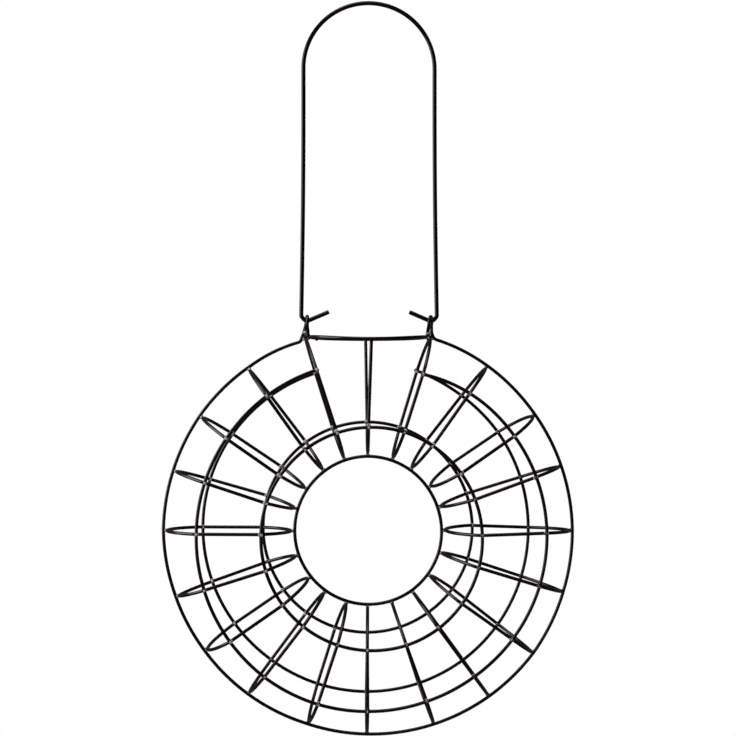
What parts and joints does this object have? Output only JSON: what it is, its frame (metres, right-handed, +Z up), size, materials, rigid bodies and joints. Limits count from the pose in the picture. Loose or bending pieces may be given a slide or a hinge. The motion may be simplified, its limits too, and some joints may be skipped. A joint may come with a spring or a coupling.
{
  "type": "suet feeder",
  "caption": "Ring-shaped welded wire cage for suet balls, open at a round mouth on top, hung by a long inverted-U wire handle whose feet hook into eyes.",
  "frame": {"origin": "hanging point: the underside of the top of the handle's arch", "axes": "+Z up, +X to the right seen from the front, -Y to the front; the cage swings about a line along X"},
  "size_m": [0.2197, 0.0639, 0.3923],
  "materials": {
    "handle_coat": "gloss powder coat",
    "cage_coat": "gloss powder coat"
  },
  "bodies": {
    "handle": {"handle": "handle_coat"},
    "cage": {"outer_ring": "cage_coat", "inner_ring": "cage_coat", "outer_front_ring": "cage_coat", "outer_back_ring": "cage_coat", "inner_front_ring": "cage_coat", "inner_back_ring": "cage_coat", "hoop_01": "cage_coat", "hoop_02": "cage_coat", "hoop_03": "cage_coat", "hoop_04": "cage_coat", "hoop_05": "cage_coat", "hoop_06": "cage_coat", "hoop_07": "cage_coat", "hoop_08": "cage_coat", "hoop_09": "cage_coat", "hoop_10": "cage_coat", "hoop_11": "cage_coat", "hoop_12": "cage_coat", "hoop_13": "cage_coat", "hoop_14": "cage_coat", "hoop_15": "cage_coat", "hoop_16": "cage_coat", "hoop_17": "cage_coat", "hoop_18": "cage_coat", "hoop_19": "cage_coat", "mouth_hoop": "cage_coat", "mouth_ring": "cage_coat"}
  },
  "joints": [
    {"name": "cage_swing", "type": "hinge", "parent": "handle", "child": "cage", "pos_m": [0, 0, -0.1695], "axis": [1, 0, 0], "range_deg": [-129, 129]}
  ]
}
